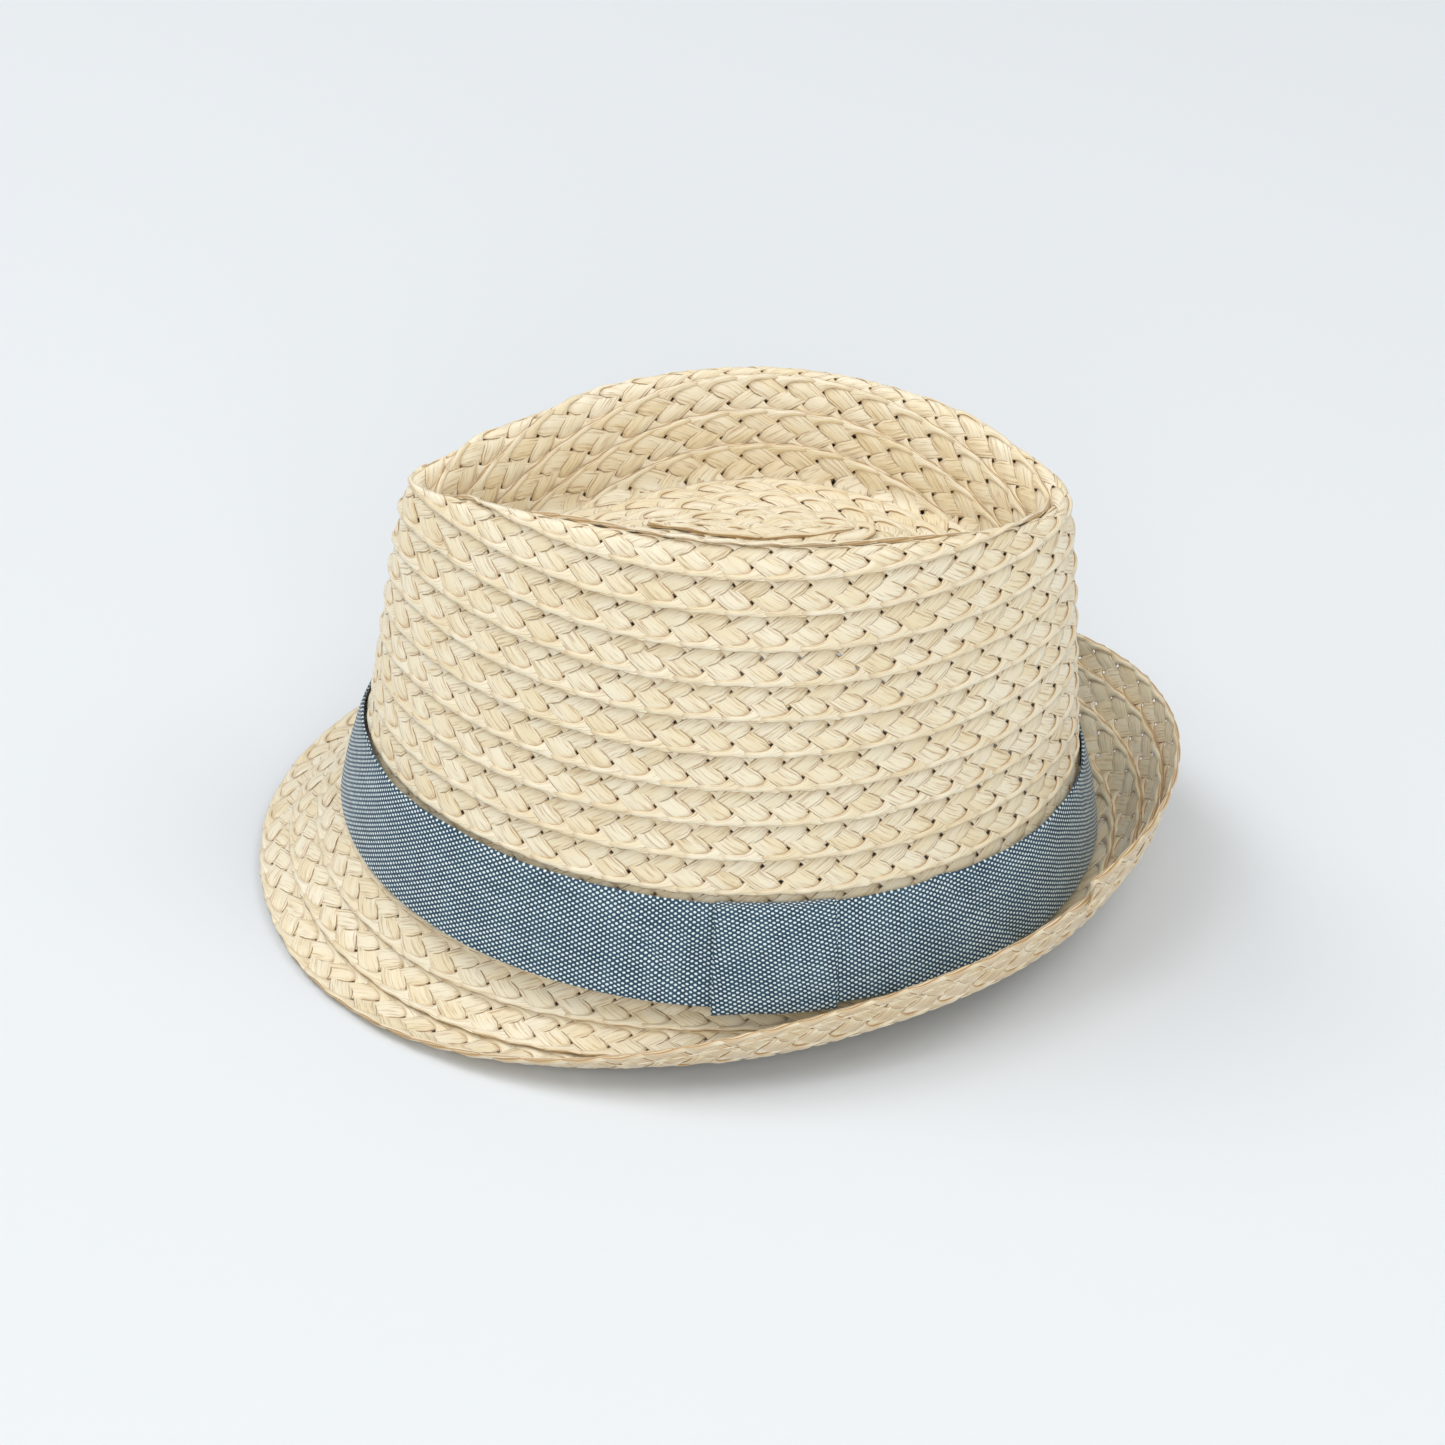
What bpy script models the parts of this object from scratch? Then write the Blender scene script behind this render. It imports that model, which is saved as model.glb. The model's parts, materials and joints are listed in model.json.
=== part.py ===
"""Sewn straw-braid fedora: braid shells, seam threads, hat band with keeper,
sweatband and two hinged labels.  Metres, +Z up, front of the hat at -Y."""

from functools import lru_cache
from math import cos, pi, radians, sin

import bmesh
import bpy
import numpy as np
from mathutils import Matrix

# ---- driving dimensions (metres and degrees) ----
HEAD_LENGTH = 0.2000        # outside of the crown at the head line, front to back
HEAD_WIDTH = 0.1694         # outside of the crown at the head line, side to side
HEAD_TILT = 0.0046          # the head line is this much higher in front, lower behind
CROWN_RISE = 0.1096         # head line to the mean height of the crest
CREST_LENGTH = 0.1721       # crest oval, front to back
CREST_WIDTH = 0.0846        # crest oval, at its widest
CREST_SHIFT = 0.0045        # crest oval's centre, behind the head line's centre
CREST_SADDLE = 0.0055       # the crest is this much higher at the sides, lower at the ends
CREST_PINCH = 0.40          # share by which the crest oval narrows towards its ends
CREST_TEARDROP = 0.18       # share of extra width behind, and of less in front
CREST_ROUND = 0.0045        # handle of the rounding over the crest, on the wall's side
DENT_ROUND = 0.0068         # the same on the dent's side
WALL_BULGE = 0.0005         # outward bow of the crown wall
WALL_LEAN = 0.6             # share of the wall's rise where that bow is
DENT_DEPTH = 0.0240         # crest down to the foot of the dent
DENT_INSET = 0.0155         # crest in to the foot of the dent
FOOT_SADDLE = 0.0022        # the dent's foot is this much higher at the sides
FOOT_LEAN = 0.25            # share of the dent's depth where its wall bends to the foot
FOOT_SOFTEN = 0.0024        # rise of that bend
ISLAND_RISE = 0.0060        # middle of the tip above the foot of the dent
ISLAND_SOFTEN = 0.0015      # the tip's start swells by this
ISLAND_REACH = (0.30, 0.35)  # lengths of the tip's handles, as shares of its width
TIP_SEAM = 0.0430           # straight start of the tip's oval rows
TIP_SHIFT = 0.0040          # its middle, behind the crest oval's centre
BRIM_FRONT = 0.0284         # brim overhang in front
BRIM_SIDE = 0.0164          # brim overhang at the sides, where it curls up
BRIM_BACK = 0.0248          # brim overhang behind
BRIM_SQUARE = -0.0041       # fullness of the brim between front and sides
EDGE_FRONT = -0.0159        # height of the brim edge in front, from the head line
EDGE_SIDE = 0.0033          # the same at the sides
EDGE_BACK = 0.0260          # the same behind
EDGE_WAVE = 0.0011          # skew of the edge's height between the quarters
EDGE_CREASE = 0.0015        # lowering of the edge's height at the diagonals
CURL_FRONT = 0.0140         # fullness of the brim's curl in front
CURL_SIDE = 0.0155          # the same at the sides
CURL_BACK = 0.0110          # the same behind
EDGE_SLOPES = (-28.0, 95.0, 70.0)       # brim's slope at its edge: front, sides, back
ROOT_SLOPES = (-40.0, -58.0, -25.0)     # brim's slope at the head line: front, sides, back
BRAID_THICK = 0.0024        # two plies of braid where the rows overlap
BRAID_PITCH = 0.0093        # spacing of the sewn rows
RIDGE = 0.0009              # each row's lower edge stands this proud of the next row
RIDGE_SHARE = 0.9           # share of a row's width between its two edges
TIP_COVER = 0.9             # the tip's rows close at this share of the way to the middle
THREAD = 0.0005             # seam thread
BAND_HEIGHT = 0.0245
BAND_THICK = 0.0012
BAND_FLARES = (0.0038, 0.0060, 0.0042)  # band's lower edge out of the head line: front, sides, back
BAND_LIFT = 0.0015          # the band's lower edge above the head line
BAND_JOIN = 0.0020          # gap between the band's ends, under the keeper
KEEPER_WIDTH = 0.0320
KEEPER_THICK = 0.0009
KEEPER_PLACE = 9.7          # from the wearer's left towards the back
TACK = 0.0010               # thread shank between the band and the crown
TACK_PLACE = 0.3            # share of the band's height where the tacks are
SWEAT_HEIGHT = 0.0280
SWEAT_LIFT = 0.0010         # sweatband's lower edge above the head line
SWEAT_THICK = 0.0010
SWEAT_SEAM = 0.0040         # its seam above the head line
LABEL_THICK = 0.0005
LABEL_HANG = 0.0012         # hinge line in from the sweatband
CARE_LABEL = (0.0220, 0.0210, 90.0)     # width, length, place round the head line
SIZE_LABEL = (0.0140, 0.0120, 116.0)
GAP = 0.00035               # clearance between touching pieces

# ---- derived sizes ----
THREAD_DEPTH = BRAID_THICK + GAP + THREAD / 2           # thread's centre below the outer face
SWEAT_DEPTH = BRAID_THICK + THREAD + 2.5 * GAP          # sweatband's outer face, the same way
BAND_STANDOFF = KEEPER_THICK + 2 * GAP                  # the keeper's inner layer runs here
WALL_START = GAP / CROWN_RISE                           # the wall clears the brim's root
THREAD_SPANS = {"wall": (0.1, 0.9), "tip": (0.15, 0.75), "brim": (0.3, 0.8)}
AROUND = 48                                             # stations round the hat
BRIM_AROUND = 72                                        # the same round the brim and band
BRIM_STEPS = 12                                         # faces across the brim's underside
SAMPLES = 40                                            # samples on each profile curve
STEP = 1e-3                                             # step of the finite differences
UP = np.array([0.0, 0.0, 1.0])


def unit(v):
    return v / np.linalg.norm(v)


# ---- the hat's outer surface ----
def harmonic(t, front, side, back):
    """A size that runs smoothly through its values in front, at the sides and behind."""
    ends = (front + back) / 2
    return (side + ends) / 2 + (back - front) / 2 * sin(t) + (side - ends) / 2 * cos(2 * t)


def outward(t):
    return unit(np.array([cos(t) / HEAD_WIDTH, sin(t) / HEAD_LENGTH, 0.0]))


def head_oval(t, grow, height):
    x = (HEAD_WIDTH / 2 + grow) * cos(t)
    y = (HEAD_LENGTH / 2 + grow) * sin(t)
    return np.array([x, y, height])


def crest_oval(t, inset, height):
    s = sin(t)
    taper = 1 + CREST_TEARDROP * s - CREST_PINCH * s * s
    x = (CREST_WIDTH / 2 - inset) * cos(t) * taper
    return np.array([x, CREST_SHIFT + (CREST_LENGTH / 2 - inset) * s, height])


def head_line(t):
    return head_oval(t, 0.0, -HEAD_TILT * sin(t))


def crest(t):
    return crest_oval(t, 0.0, CROWN_RISE + CREST_SADDLE * cos(2 * t))


def dent_foot(t):
    return crest_oval(t, DENT_INSET, CROWN_RISE - DENT_DEPTH + FOOT_SADDLE * cos(2 * t))


def tip_middle(t):
    y = CREST_SHIFT + TIP_SHIFT + TIP_SEAM / 2 * sin(t)
    return np.array([0.0, y, CROWN_RISE - DENT_DEPTH + ISLAND_RISE])


def brim_edge(t):
    out = harmonic(t, BRIM_FRONT, BRIM_SIDE, BRIM_BACK)
    out += BRIM_SQUARE * (sin(3 * t) + sin(t))
    rise = harmonic(t, EDGE_FRONT, EDGE_SIDE, EDGE_BACK)
    rise += EDGE_WAVE * (sin(3 * t) + sin(t)) + EDGE_CREASE * (cos(4 * t) - 1)
    return head_oval(t, out, rise)


def slope(t, degrees):
    """Direction that leaves the head line outwards, this steeply upwards."""
    a = radians(degrees)
    return outward(t) * cos(a) + UP * sin(a)


def handles(part, t):
    """Bezier points of one stretch of the profile, from the brim edge to the middle."""
    if part == "brim":
        start, end = brim_edge(t), head_line(t)
        reach = harmonic(t, CURL_FRONT, CURL_SIDE, CURL_BACK)
        edge_slope = harmonic(t, *EDGE_SLOPES)
        root_slope = harmonic(t, *ROOT_SLOPES)
        return (start, start - slope(t, edge_slope) * reach,
                end + slope(t, root_slope) * reach, end)
    if part == "wall":
        start, end = head_line(t), crest(t)
        rise = start + (end - start) * WALL_LEAN + outward(t) * WALL_BULGE
        return start, rise, end + outward(t) * CREST_ROUND, end
    if part == "dent":
        start, end = crest(t), dent_foot(t)
        inward = unit(end * (1, 1, 0) - start * (1, 1, 0))
        return (start, start + inward * DENT_ROUND,
                end + (start - end) * FOOT_LEAN + UP * FOOT_SOFTEN, end)
    start, end = dent_foot(t), tip_middle(t)
    first, last = ISLAND_REACH
    return (start, start + (end - start) * first + UP * ISLAND_SOFTEN,
            end + (start - end) * (last, last, 0), end)


@lru_cache(maxsize=None)
def stretch(part, t):
    """Samples of one stretch at angle t, with the length along them."""
    s = np.linspace(0, 1, SAMPLES)[:, None]
    a, b, c, d = handles(part, t)
    points = a * (1 - s) ** 3 + 3 * b * s * (1 - s) ** 2 + 3 * c * s * s * (1 - s) + d * s ** 3
    lengths = np.concatenate([[0], np.cumsum(np.linalg.norm(np.diff(points, axis=0), axis=1))])
    return points, lengths


def length(part, t):
    return stretch(part, t)[1][-1]


def surface(part, t, f):
    """Point at share f of a stretch's length, at angle t."""
    points, lengths = stretch(part, t)
    return np.array([np.interp(f * lengths[-1], lengths, points[:, k]) for k in range(3)])


def normal(part, t, f):
    low, high = max(f - 0.02, 0.0), min(f + 0.02, 1.0)
    along = surface(part, t, high) - surface(part, t, low)
    across = surface(part, t + STEP, f) - surface(part, t - STEP, f)
    return unit(np.cross(across, along))


def skin(part, t, f, depth=0.0):
    """Point this far inside the hat's outer face."""
    return surface(part, t, f) - normal(part, t, f) * depth


# ---- mesh building ----
def angles(count, start=0.0, turn=2 * pi):
    return [start + turn * k / count for k in range(count)]


def material(name, colour, roughness):
    mat = bpy.data.materials.new(name)
    mat.use_nodes = True
    shader = mat.node_tree.nodes["Principled BSDF"]
    shader.inputs["Base Color"].default_value = (*colour, 1.0)
    shader.inputs["Roughness"].default_value = roughness
    shader.inputs["Metallic"].default_value = 0.0
    return mat


def solid(name, loops, mat, ring=False, origin=None):
    """One closed body through loops of points: a ring of loops, or a run with flat ends."""
    bm = bmesh.new()
    rows = [[bm.verts.new(p) for p in loop] for loop in loops]
    count = len(rows[0])
    pairs = list(zip(rows, rows[1:] + rows[:1])) if ring else list(zip(rows, rows[1:]))
    for a, b in pairs:
        for j in range(count):
            k = (j + 1) % count
            bm.faces.new((a[j], a[k], b[k], b[j]))
    if not ring:
        bm.faces.new(rows[0])
        bm.faces.new(rows[-1])
    bmesh.ops.triangulate(bm, faces=[f for f in bm.faces if len(f.verts) > 4])
    bmesh.ops.recalc_face_normals(bm, faces=bm.faces)
    mesh = bpy.data.meshes.new(name)
    bm.to_mesh(mesh)
    bm.free()
    mesh.shade_smooth()
    mesh.set_sharp_from_angle(angle=radians(35))
    obj = bpy.data.objects.new(name, mesh)
    obj.data.materials.append(mat)
    obj.parent = stand
    if origin is not None:
        obj.matrix_local = origin
    bpy.context.collection.objects.link(obj)
    return obj


def ridge_rows(part, start, end, count):
    """Outline of sewn rows on the outer face: (part, share, depth), low edge proud."""
    outline = []
    for k in range(count):
        low = start + (end - start) * k / count
        high = start + (end - start) * (k + RIDGE_SHARE) / count
        outline += [(part, low, 0.0), (part, high, RIDGE)]
    outline.append((part, end, RIDGE))
    return outline


def row_count(part):
    return round(length(part, 0.0) / BRAID_PITCH)


# ---- braid shells ----
def crown_braid(mat):
    foot = 1.0 - GAP / length("dent", 0.0)
    outer = ridge_rows("wall", WALL_START, 1.0, row_count("wall"))[:-1]
    outer += ridge_rows("dent", 0.0, foot, row_count("dent"))
    inner = [("dent", foot * k / 3, BRAID_THICK) for k in (3, 2, 1)]
    inner += [("wall", f, BRAID_THICK) for f in (1.0, 0.94, 0.85, 0.7, 0.5, 0.3, 0.15, WALL_START)]
    loops = [[skin(part, t, f, depth) for part, f, depth in outer + inner]
             for t in angles(AROUND)]
    solid("crown_braid", loops, mat, ring=True)


def brim_point(t, f, depth):
    """The brim's edge is centred on its outline, its root is flush with the crown."""
    return skin("brim", t, f, depth - BRAID_THICK / 2 * (1 - f))


def brim_loop(t):
    rows = round(length("brim", -pi / 2) / BRAID_PITCH)
    root = 1.0 - GAP / length("brim", t)
    outer = [(f, depth) for _, f, depth in ridge_rows("brim", 0.0, root, rows)]
    inner = [(root * k / BRIM_STEPS, BRAID_THICK) for k in range(BRIM_STEPS, -1, -1)]
    return [brim_point(t, f, depth) for f, depth in outer + inner]


def brim_braid(mat):
    solid("brim_braid", [brim_loop(t) for t in angles(BRIM_AROUND)], mat, ring=True)


def tip_braid(mat):
    start = GAP / length("tip", 0.0)
    outer = ridge_rows("tip", start, TIP_COVER, row_count("tip"))
    inner = [("tip", start + (TIP_COVER - start) * k / 3, BRAID_THICK) for k in range(4)]
    loops = [[skin(part, t, f, depth) for t in angles(AROUND)]
             for part, f, depth in outer[::-1] + inner]
    solid("tip_braid", loops, mat)


# ---- threads ----
def tube(name, path, radius, mat, ring=False, sides=4):
    """A thread of a few sides along a path of points."""
    path = np.array(path)
    if ring:
        ahead, behind = np.roll(path, -1, axis=0), np.roll(path, 1, axis=0)
    else:
        ahead = np.vstack([path[1:], 2 * path[-1] - path[-2]])
        behind = np.vstack([2 * path[0] - path[1], path[:-1]])
    loops = []
    for point, run in zip(path, ahead - behind):
        side = unit(np.cross(run, UP if abs(unit(run)[2]) < 0.9 else (1.0, 0.0, 0.0)))
        rise = unit(np.cross(side, run))
        loops.append([point + radius * (side * cos(a) + rise * sin(a)) for a in angles(sides)])
    solid(name, loops, mat, ring=ring)


def seam_thread(name, part, place, mat, count):
    """The thread of a stretch's rows: one turn for each row, bent where the shell is."""
    low, high = THREAD_SPANS[part]
    turns = round((high - low) * length(part, 0.0) / BRAID_PITCH)
    steps = turns * count
    path = [place(2 * pi * k / count, low + (high - low) * k / steps) for k in range(steps + 1)]
    tube(name, path, THREAD / 2, mat, sides=3)


def threads(mat):
    def under(part):
        return lambda t, f: skin(part, t % (2 * pi), f, THREAD_DEPTH)

    seam_thread("crown_thread", "wall", under("wall"), mat, AROUND)
    seam_thread("tip_thread", "tip", under("tip"), mat, AROUND)
    seam_thread("brim_thread", "brim",
                lambda t, f: brim_point(t % (2 * pi), f, THREAD_DEPTH), mat,
                BRIM_AROUND)
    ring = [skin("wall", t, SWEAT_SEAM / length("wall", t), THREAD_DEPTH) for t in angles(AROUND)]
    tube("sweatband_thread", ring, THREAD / 2, mat, ring=True, sides=3)


# ---- hat band and keeper ----
def band_point(t, share, out):
    """Point at a share of the band's height, this far out of its inner face."""
    flare = harmonic(t, *BAND_FLARES) - BAND_THICK
    low = head_line(t) + outward(t) * flare + UP * BAND_LIFT
    high = skin("wall", t, (BAND_HEIGHT + BAND_LIFT) / length("wall", t), -BAND_STANDOFF)
    return low + (high - low) * share + outward(t) * out


def keeper_span():
    half = KEEPER_WIDTH / HEAD_LENGTH
    return radians(KEEPER_PLACE) - half, radians(KEEPER_PLACE) + half


def hat_band(mat):
    join = radians(KEEPER_PLACE)
    half = BAND_JOIN / HEAD_LENGTH
    loops = []
    for k in range(BRIM_AROUND + 1):
        t = join + half + (2 * pi - 2 * half) * k / BRIM_AROUND
        loops.append([band_point(t, share, out) for share, out in
                      ((0, 0), (0.5, 0), (1, 0), (1, BAND_THICK), (0.5, BAND_THICK),
                       (0, BAND_THICK))])
    solid("hat_band", loops, mat)


def band_keeper(mat):
    """A flat sleeve round the band: four edges, each out along one face and back."""
    start, end = keeper_span()
    stations = [start + (end - start) * k / 6 for k in range(7)]
    margin = (GAP + KEEPER_THICK) / BAND_HEIGHT
    slack = GAP / BAND_HEIGHT
    corners = ((-margin, -GAP - KEEPER_THICK, -slack, -GAP),
               (1 + margin, -GAP - KEEPER_THICK, 1 + slack, -GAP),
               (1 + margin, BAND_THICK + GAP + KEEPER_THICK, 1 + slack, BAND_THICK + GAP),
               (-margin, BAND_THICK + GAP + KEEPER_THICK, -slack, BAND_THICK + GAP))
    loops = [[band_point(t, share, out) for t in stations]
             + [band_point(t, inner_share, inner_out) for t in stations[::-1]]
             for share, out, inner_share, inner_out in corners]
    solid("band_keeper", loops, mat, ring=True)


def tack(name, t, out, mat):
    """A thread shank from the crown to the band's back, or to the keeper's."""
    end = band_point(t, TACK_PLACE, out - GAP)
    height = end[2] - head_line(t)[2]
    start = skin("wall", t, height / length("wall", t), -GAP)
    start[2] = end[2]
    along = outward(t)
    side = np.cross(UP, along)
    loops = [[p + TACK / 2 * (side * cos(a) + UP * sin(a)) for a in angles(8)]
             for p in (start, end)]
    solid(name, loops, mat)


def tacks(mat):
    for name, place in (("front", -90.0), ("right", 180.0), ("back", 90.0)):
        tack("band_tack_" + name, radians(place), 0.0, mat)
    tack("keeper_tack", radians(KEEPER_PLACE), -GAP - KEEPER_THICK, mat)


# ---- sweatband and labels ----
def sweat_point(t, height, depth):
    return skin("wall", t, height / length("wall", t), SWEAT_DEPTH + depth)


def sweat_face(t, height):
    """Point on the sweatband's flat inner face."""
    low = sweat_point(t, SWEAT_LIFT, SWEAT_THICK)
    high = sweat_point(t, SWEAT_LIFT + SWEAT_HEIGHT, SWEAT_THICK)
    return low + (high - low) * (height - SWEAT_LIFT) / SWEAT_HEIGHT


def sweatband(mat):
    corners = ((SWEAT_LIFT, 0.0), (SWEAT_LIFT + SWEAT_HEIGHT, 0.0),
               (SWEAT_LIFT + SWEAT_HEIGHT, SWEAT_THICK), (SWEAT_LIFT, SWEAT_THICK))
    loops = [[sweat_point(t, height, depth) for height, depth in corners]
             for t in angles(AROUND)]
    solid("sweatband", loops, mat, ring=True)


def label(name, width, long, place, mat, thread_mat):
    """A label that hangs from its sewn edge; its origin is on the hinge line."""
    t = radians(place)
    top = SWEAT_LIFT + SWEAT_HEIGHT - 2 * LABEL_THICK - GAP
    face = sweat_face(t, top)
    spread = width / 2 * STEP / np.linalg.norm(sweat_face(t + STEP, top) - face)
    inward = -outward(t)
    around = [sweat_face(t + side, top + rise)
              for side in (-spread, 0.0, spread) for rise in (0.0, LABEL_THICK + THREAD)]
    sag = max((point - face) @ inward for point in around)
    hinge = face + inward * (sag + LABEL_HANG)
    turn = np.array([np.cross(inward, UP), inward, UP]).T
    origin = Matrix.LocRotScale(hinge, Matrix(turn).to_quaternion(), None)
    half, thick = width / 2, LABEL_THICK / 2
    sheet = [[(x, y, z) for x, y in ((-half, -thick), (half, -thick), (half, thick),
                                     (-half, thick))] for z in (-long, -thick)]
    solid(name, sheet, mat, origin=origin)
    seam = half - 2 * thick
    ring = [(THREAD / 2 * cos(a) - LABEL_THICK, THREAD / 2 * sin(a) + LABEL_THICK)
            for a in angles(8)]
    bar = [[(x, y, z) for y, z in ring] for x in (-seam, seam)]
    solid(name + "_seam", bar, thread_mat, origin=origin)


# ---- the object ----
def stand_offset():
    """Brings the lowest point of the brim to z = 0 and centres the brim in y."""
    points = np.array([p for t in angles(BRIM_AROUND) for p in brim_loop(t)])
    low, high = points.min(axis=0), points.max(axis=0)
    return (0.0, -(low[1] + high[1]) / 2, -low[2])


def build():
    straw = material("straw_braid", (0.83, 0.73, 0.52), 0.62)
    chambray = material("chambray", (0.17, 0.27, 0.42), 0.85)
    cotton = material("cotton_tape", (0.80, 0.76, 0.66), 0.85)
    satin = material("label_satin", (0.90, 0.90, 0.87), 0.45)
    sewing = material("sewing_thread", (0.86, 0.79, 0.62), 0.60)
    crown_braid(straw)
    tip_braid(straw)
    brim_braid(straw)
    threads(sewing)
    hat_band(chambray)
    band_keeper(chambray)
    tacks(sewing)
    sweatband(cotton)
    label("care_label", *CARE_LABEL, satin, sewing)
    label("size_label", *SIZE_LABEL, satin, sewing)


for old in list(bpy.data.objects):
    bpy.data.objects.remove(old)
stand = bpy.data.objects.new("stand", None)
stand.location = stand_offset()
bpy.context.collection.objects.link(stand)
build()
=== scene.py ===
import json
from math import cos, pi, radians, sin

import bpy
import numpy as np
from mathutils import Matrix, Vector

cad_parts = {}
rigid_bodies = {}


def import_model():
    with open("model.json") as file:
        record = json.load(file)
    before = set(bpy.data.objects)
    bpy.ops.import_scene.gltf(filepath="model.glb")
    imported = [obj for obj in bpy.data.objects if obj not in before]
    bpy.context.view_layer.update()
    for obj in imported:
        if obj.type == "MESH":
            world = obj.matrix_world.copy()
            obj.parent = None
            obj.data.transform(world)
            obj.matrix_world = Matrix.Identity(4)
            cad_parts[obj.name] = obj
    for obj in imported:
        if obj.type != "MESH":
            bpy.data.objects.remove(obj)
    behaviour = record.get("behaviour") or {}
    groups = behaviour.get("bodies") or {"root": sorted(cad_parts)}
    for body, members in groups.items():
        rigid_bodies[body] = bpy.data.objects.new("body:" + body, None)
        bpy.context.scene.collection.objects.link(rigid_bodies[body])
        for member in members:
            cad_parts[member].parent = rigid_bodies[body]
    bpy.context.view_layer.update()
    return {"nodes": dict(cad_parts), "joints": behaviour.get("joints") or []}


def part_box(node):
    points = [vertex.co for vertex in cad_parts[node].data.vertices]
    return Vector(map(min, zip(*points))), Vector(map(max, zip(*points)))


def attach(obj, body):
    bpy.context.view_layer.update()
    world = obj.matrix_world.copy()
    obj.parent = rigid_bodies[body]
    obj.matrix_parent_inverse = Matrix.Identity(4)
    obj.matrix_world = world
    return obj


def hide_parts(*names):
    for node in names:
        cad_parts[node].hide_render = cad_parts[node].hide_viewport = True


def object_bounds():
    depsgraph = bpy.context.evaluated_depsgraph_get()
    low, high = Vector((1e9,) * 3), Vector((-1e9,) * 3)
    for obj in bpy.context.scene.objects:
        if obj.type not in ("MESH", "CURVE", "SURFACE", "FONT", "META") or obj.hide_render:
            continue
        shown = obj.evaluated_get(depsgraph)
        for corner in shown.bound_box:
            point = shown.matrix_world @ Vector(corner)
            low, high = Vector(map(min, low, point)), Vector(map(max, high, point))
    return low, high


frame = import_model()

mm = 0.001
up = np.array([0.0, 0.0, 1.0])


# node trees: sums on sockets are written as Python expressions
class Value:  # a socket that takes part in sums
    def __init__(self, tree, socket):
        self.tree, self.socket = tree, socket

    def maths(self, operation, *others):
        inputs = {i: v for i, v in enumerate((self, *others))}
        return self.tree.add("ShaderNodeMath", {"operation": operation}, inputs)

    def __add__(self, other):
        return self.maths("ADD", other)

    def __sub__(self, other):
        return self.maths("SUBTRACT", other)

    def __mul__(self, other):
        return self.maths("MULTIPLY", other)

    def __truediv__(self, other):
        return self.maths("DIVIDE", other)

    def __rsub__(self, other):
        return self.tree.number(other).maths("SUBTRACT", self)

    def __rtruediv__(self, other):
        return self.tree.number(other).maths("DIVIDE", self)

    def __pow__(self, other):
        return self.maths("POWER", other)

    def __neg__(self):
        return self.maths("MULTIPLY", -1.0)

    __radd__ = __add__
    __rmul__ = __mul__


class Tree:
    def __init__(self, group):
        self.group = group

    def find(self, sockets, key):
        if isinstance(key, int):
            return sockets[key]
        for socket in sockets:
            if socket.identifier == key:
                return socket
        return next(s for s in sockets if s.name == key and s.enabled)

    # one node: its settings first, then the values or links of its sockets
    def add(self, kind, settings=None, inputs=None, out=0):
        made = self.group.nodes.new(kind)
        for key, value in (settings or {}).items():
            if key == "stops":
                ramp = made.color_ramp.elements
                while len(ramp) < len(value):
                    ramp.new(1.0)
                for stop, (place, colour) in zip(ramp, value):
                    stop.position, stop.color = place, (*colour, 1.0)
            else:
                setattr(made, key, value)
        for key, value in (inputs or {}).items():
            socket = self.find(made.inputs, key)
            if isinstance(value, Value):
                self.group.links.new(value.socket, socket)
            else:
                socket.default_value = value
        return Value(self, self.find(made.outputs, out))

    def also(self, value, out):  # another output of the same node
        return Value(self, self.find(value.socket.node.outputs, out))

    def number(self, value):
        made = self.group.nodes.new("ShaderNodeValue")
        made.outputs[0].default_value = value
        return Value(self, made.outputs[0])

    def smooth(self, value, low, high, to=(0.0, 1.0)):
        inputs = {"Value": value, "From Min": low, "From Max": high, "To Min": to[0], "To Max": to[1]}
        return self.add("ShaderNodeMapRange", {"interpolation_type": "SMOOTHSTEP"}, inputs)

    def vector(self, x=0.0, y=0.0, z=0.0):
        return self.add("ShaderNodeCombineXYZ", None, {"X": x, "Y": y, "Z": z})

    def split(self, vector):
        parts = self.add("ShaderNodeSeparateXYZ", None, {0: vector})
        return parts, self.also(parts, "Y"), self.also(parts, "Z")

    def noise(self, place, scale, detail=2.0, rough=0.5):
        inputs = {"Vector": place, "Scale": scale, "Detail": detail, "Roughness": rough}
        return self.add("ShaderNodeTexNoise", {"noise_dimensions": "3D"}, inputs, "Fac")

    def blend(self, factor, a, b, kind="MIX"):
        settings = {"data_type": "RGBA", "blend_type": kind}
        inputs = {"Factor_Float": factor, "A_Color": a, "B_Color": b}
        return self.add("ShaderNodeMix", settings, inputs, "Result_Color")


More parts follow.
